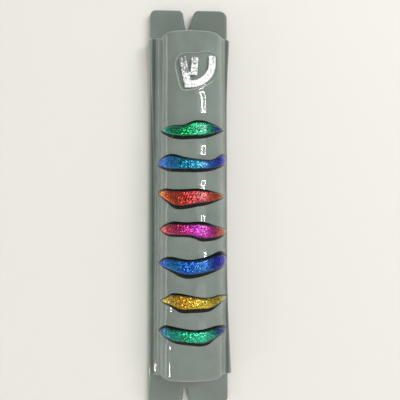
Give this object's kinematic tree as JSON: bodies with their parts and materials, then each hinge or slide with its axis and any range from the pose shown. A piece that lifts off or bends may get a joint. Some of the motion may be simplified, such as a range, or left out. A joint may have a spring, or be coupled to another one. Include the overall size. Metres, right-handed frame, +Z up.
{
  "type": "mezuzah case",
  "caption": "Fused-glass wall mezuzah case: notched back plate, slumped arch shell, block shin, coloured glass leaves, rolled scroll and stopper.",
  "frame": {"origin": "centre of the back plate's back face, which lies against the doorpost", "axes": "+Z up along the case's length, +Y out of the back face towards the wall, so the front faces -Y; +X to the right of someone facing the case"},
  "size_m": [0.0342, 0.0171, 0.165],
  "materials": {
    "grey_glass": "opal grey-green fused glass, fire-polished gloss",
    "clear_glass": "clear fused glass",
    "silver_dichroic": "crinkled silver dichroic film on glass",
    "black_glass": "black fused glass, gloss",
    "green_dichroic": "crackled green dichroic glass",
    "blue_dichroic": "blue dichroic glass",
    "red_dichroic": "crackled red dichroic glass",
    "magenta_dichroic": "magenta dichroic glass",
    "gold_dichroic": "crackled gold dichroic glass",
    "stopper_silicone": "soft translucent silicone, matte",
    "parchment": "rolled parchment, smooth matte"
  },
  "bodies": {
    "root": {"back_plate": "grey_glass", "front_shell": "grey_glass", "shin_pad": "clear_glass", "shin_letter": "silver_dichroic", "leaf_1_base": "black_glass", "leaf_1_dichroic": "green_dichroic", "leaf_2_base": "black_glass", "leaf_2_dichroic": "blue_dichroic", "leaf_3_base": "black_glass", "leaf_3_dichroic": "red_dichroic", "leaf_4_base": "black_glass", "leaf_4_dichroic": "magenta_dichroic", "leaf_5_base": "black_glass", "leaf_5_dichroic": "blue_dichroic", "leaf_6_base": "black_glass", "leaf_6_dichroic": "gold_dichroic", "leaf_7_base": "black_glass", "leaf_7_dichroic": "green_dichroic"},
    "parchment_scroll": {"parchment_scroll": "parchment"},
    "stopper": {"stopper": "stopper_silicone"}
  },
  "joints": [
    {"name": "scroll_slide", "type": "slide", "parent": "root", "child": "parchment_scroll", "axis": [0, 0, 1], "range_m": [0, 0.135]},
    {"name": "stopper_pull", "type": "slide", "parent": "root", "child": "stopper", "axis": [0, 0, -1], "range_m": [0, 0.02]}
  ]
}
